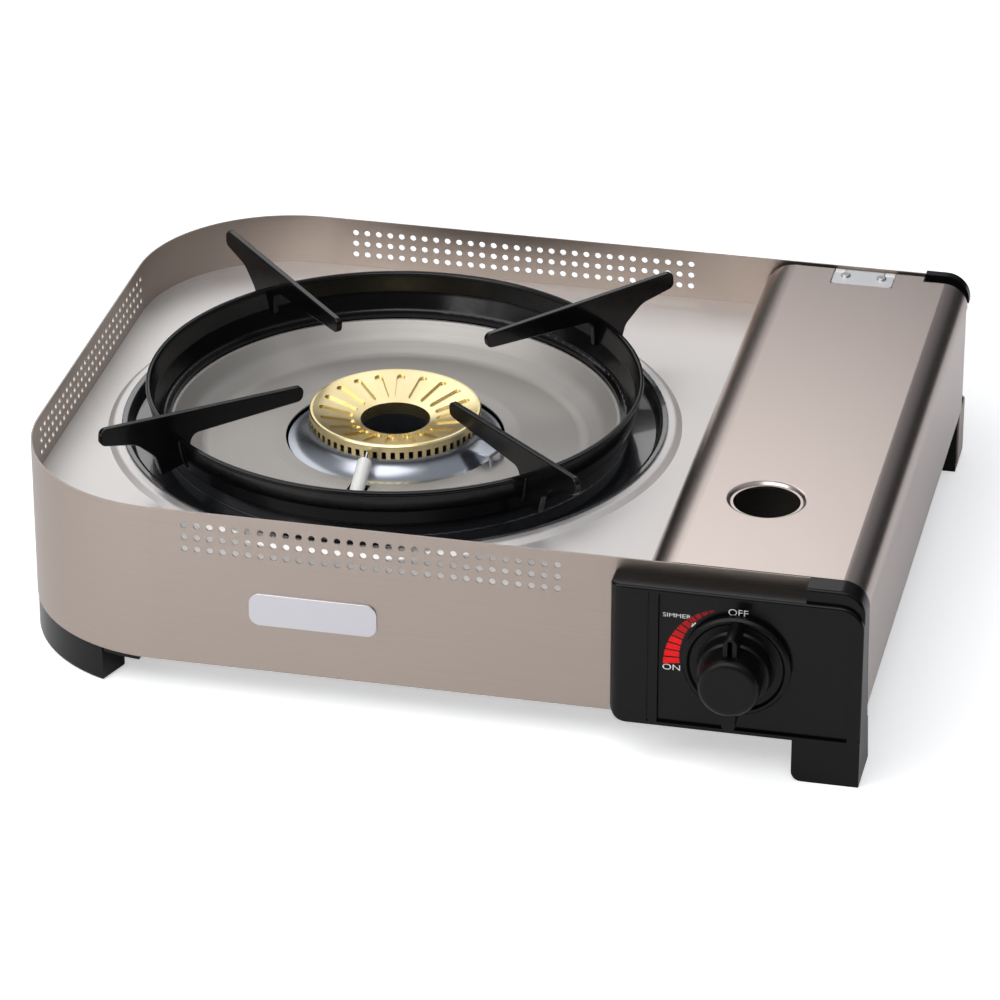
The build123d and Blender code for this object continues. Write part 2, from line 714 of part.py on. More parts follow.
stay_angle = -19.0
stay_width = 9.5
stay_sheet = 0.8
stay_top = 60.4
stay_reach = (36.6, 48.4)
stay_foot = bowl_hole_level + bowl_sheet
with BuildPart() as burner_stay:
    with BuildSketch(radial_plane(stay_angle)):
        sheet_section([(stay_reach[1], stay_foot - stay_sheet), (stay_reach[1] - 1.0, stay_top - 1.4),
                       (stay_reach[0], stay_top - stay_sheet)], stay_sheet, [1.2])
        block_plan(stay_reach[0], stay_reach[1] + 1, stay_foot - 2 * stay_sheet, stay_foot,
                   mode=Mode.SUBTRACT)
    extrude(amount=stay_width / 2, both=True)
    with BuildSketch(radial_plane(stay_angle)):
        block_plan(stay_reach[1] - 4, stay_reach[1] + 4, stay_foot + 0.8, stay_top - 2.4)
    extrude(amount=stay_width / 2 - 1.6, both=True, mode=Mode.SUBTRACT)
save(burner_stay, "burner_stay")

# ---------------------------------------------------------------- cartridge bay
pipe_radius = 2.0
pipe_slot_radius = 3.5
pipe_y = front_y + 23.0
with BuildPart() as canister_bay:
    block((bay_left, bay_right), (bay_front_y, cap_front_y), (bay_floor, plate_top - plate_sheet))
    block((bay_left + bay_sheet, bay_right), (bay_front_y, cap_front_y),
          (bay_floor + bay_sheet, plate_top), mode=Mode.SUBTRACT)
    block((bay_right - bay_sheet, bay_right), (bay_front_y, cap_front_y), (bay_floor, bay_wall_right))
    fillet(edges().filter_by(Axis.Y).group_by(Axis.Z)[0], radius=1.2)
    with BuildSketch(Plane.YZ.offset(bay_left)):
        with Locations((pipe_y, mixer_level)):
            Circle(pipe_slot_radius)
    extrude(amount=bay_sheet, mode=Mode.SUBTRACT)
save(canister_bay, "canister_bay")

heat_sheet = 1.0
heat_from_socket = 46.0
heat_foot = 5.0
heat_start_y = socket_y + heat_from_socket
heat_length = 80.0
with BuildPart() as heat_panel:
    block((bay_left + bay_sheet, bay_left + bay_sheet + heat_sheet),
          (heat_start_y, heat_start_y + heat_length), (bay_floor + bay_sheet, plate_top - plate_flange - 4))
    block((bay_left + bay_sheet, bay_left + bay_sheet + heat_foot), (heat_start_y, heat_start_y + heat_length),
          (bay_floor + bay_sheet, bay_floor + bay_sheet + heat_sheet))
    fillet(edges().filter_by(Axis.Y).group_by(Axis.X)[0].sort_by(Axis.Z)[0], radius=0.9)
save(heat_panel, "heat_panel")

bore_depth = 12.0
post_radius = 3.5
with BuildPart() as governor_body:
    with BuildSketch(front_plane(governor_y)):
        with Locations((knob_x, canister_z)):
            Circle(governor_radius)
    extrude(amount=-governor_length)
    with BuildSketch(front_plane(governor_y + 3)):
        with Locations((knob_x, canister_z)):
            Rectangle(4 * post_radius, 2 * (governor_post_reach + 4))
    extrude(amount=-2.5)
    with BuildSketch(front_plane(inner_front_y)):
        with Locations(*governor_posts):
            Circle(post_radius)
    extrude(amount=-(governor_y + 3 - inner_front_y))
    with BuildSketch(front_plane(governor_y)):
        with Locations((knob_x, knob_z)):
            Circle(spindle_radius + running_gap)
    extrude(amount=-bore_depth, mode=Mode.SUBTRACT)
    with BuildSketch(front_plane(inner_front_y)):
        with Locations(*governor_posts):
            Circle(screw_radius)
    extrude(amount=-screw_length, mode=Mode.SUBTRACT)
save(governor_body, "governor_body")

valve_bore = 4.5
seal_radius = 7.5
seal_proud = 1.0
magnet_radius = 4.0
magnet_reach = 14.5
magnet_proud = 0.3
key_width = 5.0
magnet_spots = [(knob_x + side * magnet_reach, canister_z) for side in (-1, 1)]
with BuildPart() as canister_socket:
    with BuildSketch(front_plane(socket_y)):
        with Locations((knob_x, canister_z)):
            Circle(socket_radius)
            Circle(seal_radius, mode=Mode.SUBTRACT)
        with Locations(*magnet_spots):
            Circle(magnet_radius, mode=Mode.SUBTRACT)
    extrude(amount=-socket_depth)
    # the key that finds the notch in the cartridge's collar
    with BuildSketch(front_plane(socket_y)):
        with Locations((knob_x, canister_z + socket_radius - 1)):
            Rectangle(key_width, 6.0)
    extrude(amount=-socket_depth - 2.0)
save(canister_socket, "canister_socket")

with BuildPart() as socket_seal:
    with BuildSketch(front_plane(socket_y)):
        with Locations((knob_x, canister_z)):
            Circle(seal_radius)
            Circle(valve_bore, mode=Mode.SUBTRACT)
    extrude(amount=-socket_depth - seal_proud)
save(socket_seal, "socket_seal")

with BuildPart() as socket_magnets:
    with BuildSketch(front_plane(socket_y)):
        with Locations(*magnet_spots):
            Circle(magnet_radius)
    extrude(amount=-socket_depth - magnet_proud)
save(socket_magnets, "socket_magnets")

pipe_bend = 8.0
pipe_straight = 8.5
pipe_turn_x = bay_left - 4.4
jet_end = radial_point(shutter_end + jet_length, mixer_angle, mixer_level)
jet_line = radial_point(shutter_end + jet_length + pipe_straight, mixer_angle, mixer_level)
with BuildPart() as gas_pipe:
    with BuildLine() as pipe_route:
        FilletPolyline((knob_x - governor_radius + 2.5, pipe_y, mixer_level),
                       (pipe_turn_x, pipe_y, mixer_level),
                       jet_line, jet_end, radius=[pipe_bend, pipe_bend])
    with BuildSketch(Plane(origin=pipe_route.line @ 0, z_dir=pipe_route.line % 0)):
        Circle(pipe_radius)
    sweep()
    add(governor_body.part, mode=Mode.SUBTRACT)
save(gas_pipe, "gas_pipe")

# ---------------------------------------------------------------- knob, spindle and igniter
cam_start = 12.0
cam_rise = 3.0
cam_y = front_y + 1.4
cam_thickness = 2.0
spindle_reach = 11.6          # in front of the panel's face
spindle_front_y = panel_front_y - spindle_reach
spindle_back_y = governor_y + bore_depth - 1
cam_first_angle = 180 - knob_turn


def cam_point(angle):
    """Point of the cam's rising flank: the radius falls evenly to its base as the angle grows."""
    radius = cam_start + cam_rise * (180 - angle) / knob_turn
    return (radius * math.cos(math.radians(angle)), radius * math.sin(math.radians(angle)))


flank_angles = [cam_first_angle + knob_turn * step / 8 for step in range(9)]
with BuildPart() as gas_spindle:
    with BuildSketch(knob_plane(spindle_back_y)):
        Circle(spindle_radius)
    extrude(amount=spindle_back_y - spindle_front_y)
    with BuildSketch(knob_plane(cam_y + cam_thickness)):
        with BuildLine():
            flank = Spline(*[cam_point(angle) for angle in flank_angles])
            base = CenterArc((0, 0), cam_start, 180, 360 - knob_turn)
            Line(base @ 1, flank @ 0)
        make_face()
    extrude(amount=cam_thickness)
save(gas_spindle, "gas_spindle")

plunger_gap = 0.3
plunger_height = 4.0
plunger_length = 16.0
plunger_fit = 0.1
plunger_tip_x = knob_x - cam_start - plunger_gap
plunger_y = (cam_y - 0.2, cam_y + cam_thickness + 0.2)
plunger_z = (knob_z - plunger_height / 2, knob_z + plunger_height / 2)
igniter_left = bay_left + bay_sheet + 2.2
igniter_x = (igniter_left, igniter_left + 13.0)
igniter_z = (40.0, 54.0)
igniter_depth = 12.4
with BuildPart() as piezo_igniter:
    block(igniter_x, (inner_front_y, inner_front_y + igniter_depth), igniter_z)
    fillet(edges().filter_by(Axis.Y), radius=1.2)
    block((plunger_tip_x - plunger_length - cam_rise - 1, igniter_x[1]),
          (plunger_y[0] - plunger_fit, plunger_y[1] + plunger_fit),
          (plunger_z[0] - plunger_fit, plunger_z[1] + plunger_fit), mode=Mode.SUBTRACT)
save(piezo_igniter, "piezo_igniter")

with BuildPart() as igniter_plunger:
    block((plunger_tip_x - plunger_length, plunger_tip_x), plunger_y, plunger_z)
    fillet(edges().filter_by(Axis.Y).group_by(Axis.X)[-1], radius=1.0)
save(igniter_plunger, "igniter_plunger")

lead_radius = 1.6
lead_y = front_y + 6.2
lead_drop = 21.0
lead_points = [Vector(igniter_x[0], lead_y, knob_z),
               Vector(burner_x + rim_radius * 0.6, lead_y + lead_radius, knob_z - lead_radius),
               Vector(burner_x + rim_radius * 0.14, lead_y + corner_radius / 4, knob_z - lead_drop),
               insulator_end - insulator_line * (insulator_length + wire_reach),
               insulator_end]


def easy_bends(points):
    """Large bend radii: each takes 0.45 of the shorter run beside its corner."""
    bends = []
    for before, corner, after in zip(points, points[1:], points[2:]):
        turn = (corner - before).get_angle(after - corner)
        shorter = min((corner - before).length, (after - corner).length)
        bends.append(0.45 * shorter / math.tan(math.radians(turn / 2)))
    return bends


with BuildPart() as igniter_lead:
    with BuildLine() as lead_route:
        FilletPolyline(*lead_points, radius=easy_bends(lead_points))
    with BuildSketch(Plane(origin=lead_route.line @ 0, z_dir=lead_route.line % 0)):
        Circle(lead_radius)
    sweep()
    add(electrode.part, mode=Mode.SUBTRACT)
save(igniter_lead, "igniter_lead")

skirt_gap = 0.4
skirt_height = 3.2
knob_rear_y = plate_face_y - skirt_gap
skirt_front_y = knob_rear_y - skirt_height
knob_front_y = panel_front_y - knob_reach
grip_front_y = knob_front_y + 3.8
grip_width = 5.2
grip_length = 39.0
skirt_ring = (17.6, 18.6)     # radii of the shallow groove round the skirt
knob_base_radius = 14.0
knob_base_height = 6.4
pointer_groove = 1.8
with BuildPart() as knob:
    with BuildSketch(Plane(origin=(knob_x, 0, knob_z))):
        with BuildLine():
            Polyline((0, knob_rear_y), (knob_skirt_radius, knob_rear_y),
                     (knob_skirt_radius, skirt_front_y + 0.9), (knob_skirt_radius - 0.9, skirt_front_y),
                     (skirt_ring[1], skirt_front_y), (skirt_ring[0], skirt_front_y + 0.9),
                     (knob_base_radius + 0.8, skirt_front_y + 0.9), (knob_base_radius, skirt_front_y),
                     (knob_base_radius - 0.5, skirt_front_y - knob_base_height + 0.8),
                     (knob_base_radius - 1.3, skirt_front_y - knob_base_height),
                     (knob_cap_radius + 0.2, skirt_front_y - knob_base_height), (0, skirt_front_y - 8),
                     close=True)
        make_face()
    revolve(axis=Axis((knob_x, 0, knob_z), (0, 1, 0)))
    with BuildSketch(knob_plane(skirt_front_y)):
        Circle(knob_cap_radius)
    extrude(amount=skirt_front_y - knob_front_y)
    fillet(faces().sort_by(Axis.Y)[0].edges(), radius=2.6)
    with BuildSketch(knob_plane(skirt_front_y)):
        SlotOverall(grip_length, grip_width, rotation=90)
        with Locations((0, (knob_cap_radius + grip_length / 2) / 2 - 0.8)):
            SlotOverall(grip_length / 2 - knob_cap_radius, pointer_groove, rotation=90, mode=Mode.SUBTRACT)
    extrude(amount=skirt_front_y - grip_front_y)
    with BuildSketch(knob_plane(knob_rear_y)):
        Circle(spindle_radius)
    extrude(amount=knob_rear_y - spindle_front_y, mode=Mode.SUBTRACT)
save(knob, "knob")

# ---------------------------------------------------------------- control panel
panel_hole_radius = 6.5
panel_front_wall = plate_recess + plate_thickness + 1.8
panel_edge = 1.2
panel_line_x = plate_left - 3.9
panel_corner = 9.5
foot_lean = 0.21
cheek_width = 2.5
cheek_top = panel_top - 5.0
side_foot_x = bay_right + 0.1


def panel_outline(left_x, top):
    """Front outline of the panel or its raised block, rounded at the top right."""
    block_plan(left_x, half_width, panel_bottom, top)
    fillet(vertices().group_by(Axis.X)[-1].sort_by(Axis.Y)[-1], radius=panel_corner)


with BuildPart() as control_panel:
    with BuildSketch(front_plane(front_y)):
        panel_outline(panel_block_left, panel_top + panel_block_rise)
    extrude(amount=panel_block_depth)
    fillet(faces().sort_by(Axis.Y)[0].edges().group_by(Axis.Z)[-1], radius=panel_edge)
    with BuildSketch(front_plane(front_y)):
        panel_outline(panel_left, panel_top)
        fillet(vertices().group_by(Axis.X)[0].sort_by(Axis.Y)[0], radius=7.0)
    extrude(amount=panel_depth)
    with BuildSketch(Plane.XY):
        block_plan(panel_left, half_width, panel_front_y, front_y)
        fillet(vertices().group_by(Axis.X)[0].sort_by(Axis.Y)[0], radius=4.5)
    extrude(amount=2 * wall_top, mode=Mode.INTERSECT)
    fillet(faces().sort_by(Axis.Y)[0].edges().group_by(Axis.Z)[-1], radius=panel_edge)
    with BuildSketch(front_plane(panel_front_y)):
        block_plan(panel_line_x, panel_line_x + 0.7, panel_bottom + 1.5, panel_top - 1.8)
    extrude(amount=-0.5, mode=Mode.SUBTRACT)
    with BuildSketch(front_plane(front_y)):
        panel_outline(panel_left, panel_top)
        offset(amount=-panel_wall)
    extrude(amount=panel_depth - panel_front_wall, mode=Mode.SUBTRACT)
    with BuildSketch(front_plane(front_y)):
        with Locations(*panel_posts):
            Circle(post_radius)
    extrude(amount=panel_depth - panel_front_wall)
    with BuildSketch(front_plane(front_y)):
        with Locations(*panel_posts):
            Circle(screw_radius)
    extrude(amount=screw_length - wall_sheet, mode=Mode.SUBTRACT)
    # the foot under the right end reaches back below the body
    with BuildSketch(Plane.YZ.offset(panel_foot_left)):
        with BuildLine():
            Polyline((panel_front_y, 0), (front_y + panel_foot_reach, 0),
                     (front_y + panel_foot_reach - foot_lean * (bay_floor - 0.1), bay_floor - 0.1),
                     (bay_front_y - 0.1, bay_floor - 0.1), (bay_front_y - 0.1, wall_bottom),
                     (front_y, wall_bottom), (front_y, panel_bottom + panel_wall),
                     (panel_front_y, panel_bottom + panel_wall), close=True)
        make_face()
    extrude(amount=half_width - panel_foot_left)
    fillet(edges().filter_by(Axis.Y).group_by(Axis.Z)[0].sort_by(Axis.X)[0], radius=4.0)
    with BuildSketch(Plane.YZ.offset(side_foot_x)):
        with BuildLine():
            Polyline((front_y - 1, 0), (front_y + panel_foot_reach, 0),
                     (front_y + panel_foot_reach - foot_lean * (cover_side_low - 6),
                      cover_side_low - 6),
                     (front_y - 1, cover_side_low - 6), close=True)
        make_face()
    extrude(amount=half_width - side_foot_x)
    # the cheek closes the gap in front of the cover's side
    with BuildSketch(Plane.YZ.offset(half_width - cheek_width)):
        block_plan(front_y - 1, front_y + bay_from_front, cover_side_low - 7, cheek_top)
        with Locations((hinge_y, hinge_z)):
            Circle(cover_swing_radius + cover_swing_gap, mode=Mode.SUBTRACT)
    extrude(amount=cheek_width)
    with BuildSketch(front_plane(panel_front_y)):
        block_plan(plate_left, plate_right, plate_low, plate_high)
    extrude(amount=-(plate_recess + plate_thickness), mode=Mode.SUBTRACT)
    with BuildSketch(knob_plane(panel_front_y)):
        Circle(panel_hole_radius)
    extrude(amount=-panel_depth, mode=Mode.SUBTRACT)
save(control_panel, "control_panel")

plate_fit = 0.15
with BuildPart() as face_plate:
    with BuildSketch(front_plane(plate_face_y + plate_thickness)):
        block_plan(plate_left + plate_fit, plate_right - plate_fit, plate_low + plate_fit,
                   plate_high - plate_fit)
        with Locations((knob_x, knob_z)):
            Circle(panel_hole_radius, mode=Mode.SUBTRACT)
    extrude(amount=plate_thickness)
save(face_plate, "face_plate")

with BuildPart() as panel_screws:
    with BuildSketch(front_plane(inner_front_y)):
        with Locations(*panel_posts):
            Circle(screw_head_radius)
    extrude(amount=-screw_head_height)
    with BuildSketch(front_plane(inner_front_y)):
        with Locations(*panel_posts):
            Circle(screw_radius - sheet_gap)
    extrude(amount=screw_length)
save(panel_screws, "panel_screws")

with BuildPart() as governor_screws:
    with BuildSketch(front_plane(front_y)):
        with Locations(*governor_posts):
            Circle(screw_head_radius)
    extrude(amount=screw_head_height)
    with BuildSketch(front_plane(front_y)):
        with Locations(*governor_posts):
            Circle(screw_radius - sheet_gap)
    extrude(amount=-screw_length)
save(governor_screws, "governor_screws")

# ---------------------------------------------------------------- rear cap
cap_gap = 0.1
cap_cover_gap = 2.2           # right of the top of the cover's left side
cap_plate_top = 74.0
block_corner = 10.0
cap_inner_x = flange_outer_x - wall_sheet - sheet_gap
rib_width = 7.0
rib_top = 70.5
rib_rear_y = back_y - flange_width - sheet_gap
foot_back_x = (rear_block_left, half_width - wall_sheet - sheet_gap)
rear_foot_y = back_y - leg_width - 1.8
bend_relief = 2.5
with BuildPart() as rear_cap:
    block((plate_right_x + cap_gap, rear_block_left), (cap_front_y, inner_back_y),
          (bay_floor + bay_sheet, plate_top))
    block((cover_left + cover_side_lean + cap_cover_gap, rear_block_left), (cap_front_y, inner_back_y),
          (plate_top, cap_plate_top))
    with BuildSketch(front_plane(inner_back_y)):
        block_plan(rear_block_left, cap_inner_x, wall_bottom, rear_block_top)
        block_plan(cap_inner_x, half_width, flange_top + cap_gap, rear_block_top)
        fillet(vertices().group_by(Axis.X)[-1].sort_by(Axis.Y)[-1], radius=block_corner)
    extrude(amount=rear_cap_depth)
    block((side_foot_x, cap_inner_x), (rib_rear_y, inner_back_y), (flange_bottom, rib_top))
    block((side_foot_x, flange_outer_x), (rib_rear_y - rib_width, rib_rear_y), (flange_bottom - 1, rib_top))
    block((side_foot_x, foot_back_x[1]), (rear_foot_y, inner_back_y), (0, flange_bottom - cap_gap))
    block(foot_back_x, (rear_foot_y, inner_back_y), (0, bay_floor - cap_gap))
    block((rear_block_left, side_foot_x), (cap_front_y, inner_back_y), (bay_floor - 1, wall_bottom + 1))
    # relieved behind the bends of the rear wall and its leg
    block((cap_inner_x - bend_relief, cap_inner_x), (inner_back_y - bend_relief, inner_back_y),
          (flange_bottom - cap_gap, flange_top + cap_gap), mode=Mode.SUBTRACT)
    block((foot_back_x[1] - bend_relief, foot_back_x[1]), (inner_back_y - bend_relief, inner_back_y),
          (leg_bottom, flange_bottom), mode=Mode.SUBTRACT)
    block((hinge_x - hinge_width / 2 - 0.5, hinge_x + hinge_width / 2 + 0.5),
          (inner_back_y - 1.05, inner_back_y), (59.5, cap_plate_top), mode=Mode.SUBTRACT)
save(rear_cap, "rear_cap")

# ---------------------------------------------------------------- cover and its hinge
cover_rear_y = hinge_y - 0.1
cover_block_cut_y = cap_front_y - 3.9
cover_side_rear_y = back_y - 13.0
cover_bend_low = wall_top - cover_right_bend
finger_from_right = 48.8
finger_from_front = 58.0
finger_x = half_width - finger_from_right
finger_y = front_y + finger_from_front
dimple_radius = 15.9
finger_radius = 12.9
dimple_depth = 1.2
leaf_sheet = 1.0
pocket_depth = 1.2
pocket_margin = 0.4
leaf_front_y = hinge_y - 13.4
knuckle_clear = hinge_barrel_radius + 0.4
leaf_x = (hinge_x - hinge_width / 2, hinge_x + hinge_width / 2)
pocket_x = (leaf_x[0] - pocket_margin, leaf_x[1] + pocket_margin)
pocket_floor = wall_top - pocket_depth
rivet_spots = [(hinge_x + side * 7.5, hinge_y - 5.4) for side in (-1, 1)]
rivet_shank = 1.2
finger_section = Plane(origin=(finger_x, finger_y, 0), x_dir=(1, 0, 0), z_dir=(0, -1, 0))
with BuildPart() as canister_cover:
    with BuildSketch(front_plane(cover_rear_y)):
        sheet_section([(half_width, cover_side_low), (half_width, wall_top),
                       (cover_left + cover_side_lean, wall_top), (cover_left, plate_top + 0.3)],
                      cover_sheet, [cover_right_bend, cover_left_bend])
    extrude(amount=cover_rear_y - cover_front_y)
    with BuildSketch(hinge_axis_plane):
        Circle(cover_swing_radius)
    extrude(amount=half_width + 1, mode=Mode.INTERSECT)
    block((rear_block_left - 0.5, half_width + 1), (cover_block_cut_y, back_y),
          (cover_side_low - 1, wall_top + 1), mode=Mode.SUBTRACT)
    block((bay_right, half_width + 1), (cover_side_rear_y, back_y), (cover_side_low - 1, cover_bend_low),
          mode=Mode.SUBTRACT)
    # the finger hole, in a pressed dish
    with BuildSketch(Plane.XY.offset(wall_top)):
        with Locations((finger_x, finger_y)):
            Circle(dimple_radius)
    extrude(amount=-2 * cover_sheet, mode=Mode.SUBTRACT)
    with BuildSketch(finger_section):
        sheet_section([(finger_radius, wall_top - cover_sheet - dimple_depth),
                       (finger_radius + 1.4, wall_top - cover_sheet - dimple_depth),
                       (dimple_radius - 0.6, wall_top - cover_sheet),
                       (dimple_radius + 0.2, wall_top - cover_sheet)],
                      cover_sheet, [0.4, 0.3])
    revolve(axis=Axis((finger_x, finger_y, 0), (0, 0, 1)))
    # the sunk seat of the hinge leaf
    block((pocket_x[0] - cover_sheet, pocket_x[1] + cover_sheet),
          (leaf_front_y - pocket_margin - cover_sheet, cover_rear_y),
          (pocket_floor - cover_sheet, wall_top - cover_sheet))
    block(pocket_x, (leaf_front_y - pocket_margin, back_y), (pocket_floor, wall_top + 1),
          mode=Mode.SUBTRACT)
    block(pocket_x, (hinge_y - knuckle_clear, back_y), (hinge_z - 5, wall_top + 1), mode=Mode.SUBTRACT)
    with BuildSketch(Plane.XY.offset(pocket_floor - cover_sheet)):
        with Locations(*rivet_spots):
            Circle(rivet_shank)
    extrude(amount=cover_sheet, mode=Mode.SUBTRACT)
save(canister_cover, "canister_cover")

knuckle_x = (hinge_x - hinge_knuckle / 2, hinge_x + hinge_knuckle / 2)
with BuildPart() as hinge_leaf:
    block(leaf_x, (leaf_front_y, hinge_y - knuckle_clear), (pocket_floor, pocket_floor + leaf_sheet))
    fillet(edges().filter_by(Axis.Z).group_by(Axis.Y)[0], radius=1.5)
    block(knuckle_x, (leaf_front_y + 2, hinge_y), (hinge_z + hinge_barrel_radius - leaf_sheet,
                                                   hinge_z + hinge_barrel_radius))
    with BuildSketch(Plane.YZ.offset(knuckle_x[0])):
        with Locations((hinge_y, hinge_z)):
            Circle(hinge_barrel_radius)
    extrude(amount=hinge_knuckle)
    with BuildSketch(Plane.YZ.offset(knuckle_x[0])):
        with Locations((hinge_y, hinge_z)):
            Circle(hinge_pin_radius + running_gap)
    extrude(amount=hinge_knuckle, mode=Mode.SUBTRACT)
    with BuildSketch(Plane.XY.offset(pocket_floor)):
        with Locations(*rivet_spots):
            Circle(rivet_shank)
    extrude(amount=leaf_sheet, mode=Mode.SUBTRACT)
save(hinge_leaf, "hinge_leaf")

with BuildPart() as hinge_rivets:
    with BuildSketch(Plane.XY.offset(pocket_floor - cover_sheet - 0.8)):
        with Locations(*rivet_spots):
            Circle(2 * rivet_shank)
    extrude(amount=0.8)
    with BuildSketch(Plane.XY.offset(pocket_floor - cover_sheet)):
        with Locations(*rivet_spots):
            Circle(rivet_shank)
    extrude(amount=cover_sheet + leaf_sheet)
    with BuildSketch(Plane.XY.offset(pocket_floor + leaf_sheet)):
        with Locations(*rivet_spots):
            Circle(2 * rivet_shank - 0.4)
    extrude(amount=0.7)
    fillet(edges().group_by(Axis.Z)[-1], radius=0.5)
save(hinge_rivets, "hinge_rivets")

knuckle_gap = 0.3
bracket_z = (60.0, cap_plate_top + 1.4)
fixed_knuckles = [(leaf_x[0], knuckle_x[0] - knuckle_gap), (knuckle_x[1] + knuckle_gap, leaf_x[1])]
with BuildPart() as hinge_bracket:
    block(leaf_x, (inner_back_y - leaf_sheet, inner_back_y), bracket_z)
    for start_x, end_x in fixed_knuckles:
        block((start_x, end_x), (inner_back_y - leaf_sheet, inner_back_y), (bracket_z[1], hinge_z))
        with BuildSketch(Plane.YZ.offset(start_x)):
            with Locations((hinge_y, hinge_z)):
                Circle(hinge_barrel_radius)
            block_plan(hinge_y, inner_back_y, hinge_z - 1, hinge_z)
        extrude(amount=end_x - start_x)
        with BuildSketch(Plane.YZ.offset(start_x)):
            with Locations((hinge_y, hinge_z)):
                Circle(hinge_pin_radius)
        extrude(amount=end_x - start_x, mode=Mode.SUBTRACT)
save(hinge_bracket, "hinge_bracket")

with BuildPart() as hinge_pin:
    with BuildSketch(Plane.YZ.offset(leaf_x[0])):
        with Locations((hinge_y, hinge_z)):
            Circle(hinge_pin_radius)
    extrude(amount=hinge_width)
save(hinge_pin, "hinge_pin")
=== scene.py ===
import bpy
import mathutils
import numpy as np
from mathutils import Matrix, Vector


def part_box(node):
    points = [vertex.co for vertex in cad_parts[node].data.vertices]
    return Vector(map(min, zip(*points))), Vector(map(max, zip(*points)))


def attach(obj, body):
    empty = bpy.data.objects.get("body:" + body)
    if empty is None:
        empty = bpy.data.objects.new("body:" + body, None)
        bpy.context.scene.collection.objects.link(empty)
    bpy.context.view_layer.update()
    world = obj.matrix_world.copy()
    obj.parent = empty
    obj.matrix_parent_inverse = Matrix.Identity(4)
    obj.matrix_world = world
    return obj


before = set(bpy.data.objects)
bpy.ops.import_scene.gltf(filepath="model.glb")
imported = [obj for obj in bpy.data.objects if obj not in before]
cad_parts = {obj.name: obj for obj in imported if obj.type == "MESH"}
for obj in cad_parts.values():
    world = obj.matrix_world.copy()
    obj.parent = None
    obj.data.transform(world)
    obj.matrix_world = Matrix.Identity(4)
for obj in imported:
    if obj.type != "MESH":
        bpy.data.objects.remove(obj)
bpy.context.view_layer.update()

# ---------------------------------------------------------------- studio
# A plain pale floor that runs far past the stove, a soft box overhead, a white board behind that
# the flat metal mirrors, and softer boards to the left and in front. The camera is far away with a
# long lens, a little to the right of the front and above.

MM = 0.001
camera_place = np.array([396.33, -1758.17, 989.70]) * MM
camera_target = np.array([7.46, -18.07, 45.0]) * MM
camera_lens = 183.69
sensor_width = 36.0


def linear(hex_colour):
    """sRGB hex to linear RGBA: each channel c becomes ((c + 0.055) / 1.055) to the power 2.4."""
    channels = np.array([int(hex_colour[i:i + 2], 16) for i in (1, 3, 5)]) / 255
    values = np.where(channels <= 0.04045, channels / 12.92, ((channels + 0.055) / 1.055) ** 2.4)
    return (*values.tolist(), 1.0)


def add_node(material, kind, inputs=None, **settings):
    """Adds a shader node: settings are its properties, inputs its sockets' values or links."""
    node = material.node_tree.nodes.new(kind)
    for name, value in settings.items():
        setattr(node, name, value)
    for socket, value in (inputs or {}).items():
        if isinstance(value, bpy.types.NodeSocket):
            material.node_tree.links.new(value, node.inputs[socket])
        else:
            node.inputs[socket].default_value = value
    return node


def new_material(name, hex_colour, **sockets):
    """A material with one Principled shader; sockets are its plain values by name."""
    material = bpy.data.materials.new(name)
    material.use_nodes = True
    shader = material.node_tree.nodes["Principled BSDF"]
    shader.inputs["Base Color"].default_value = linear(hex_colour)
    for socket, value in sockets.items():
        shader.inputs[socket.replace("_", " ")].default_value = value
    return material, shader


def link(material, output, shader, socket):
    """Links one output to a socket of the shader."""
    material.node_tree.links.new(output, shader.inputs[socket])


def aim(place, target):
    """Rotation that looks from place to target with the top up."""
    direction = mathutils.Vector(target) - mathutils.Vector(place)
    return direction.to_track_quat("-Z", "Y").to_euler()


camera_data = bpy.data.cameras.new("camera")
camera_data.lens = camera_lens
camera_data.sensor_width = sensor_width
camera_data.clip_end = 20.0
camera = bpy.data.objects.new("camera", camera_data)
camera.location = camera_place.tolist()
camera.rotation_euler = aim(camera_place, camera_target)
bpy.context.scene.collection.objects.link(camera)
bpy.context.scene.camera = camera
bpy.context.scene.view_settings.view_transform = "Standard"


def add_board(name, place, target, width, height, strength, lights_paper=True):
    """A white board that lights the stove: an area lamp of the given size, turned to the target.
    One that doesn't light the paper is only seen in what mirrors it."""
    lamp = bpy.data.lights.new(name, "AREA")
    lamp.shape = "RECTANGLE"
    lamp.size = width
    lamp.size_y = height
    lamp.energy = strength * width * height
    board = bpy.data.objects.new(name, lamp)
    board.location = place
    board.rotation_euler = aim(place, target)
    board.visible_camera = False
    board.visible_diffuse = lights_paper
    bpy.context.scene.collection.objects.link(board)


stove_middle = (0.0, 0.0, 0.05)
# each board: its place and target in metres, its width and height, and its strength
add_board("soft_box_top", (-0.3, -0.8, 1.45), stove_middle, 1.8, 1.3, 7.2)
add_board("board_behind", (-0.62, 1.25, 1.2), (-0.67, 0.0, 0.3), 1.3, 0.95, 4.2, False)
add_board("board_left", (-1.4, -0.9, 0.5), stove_middle, 1.2, 0.9, 2.6)
add_board("board_front", (-0.9, -1.7, 0.5), stove_middle, 0.9, 0.7, 2.4)

# a small lamp over the paper at the left front, which the front wall mirrors brighter there
add_board("paper_lamp", (-0.24, -0.40, 0.30), (-0.17, -0.21, 0.0), 0.16, 0.12, 16.0)

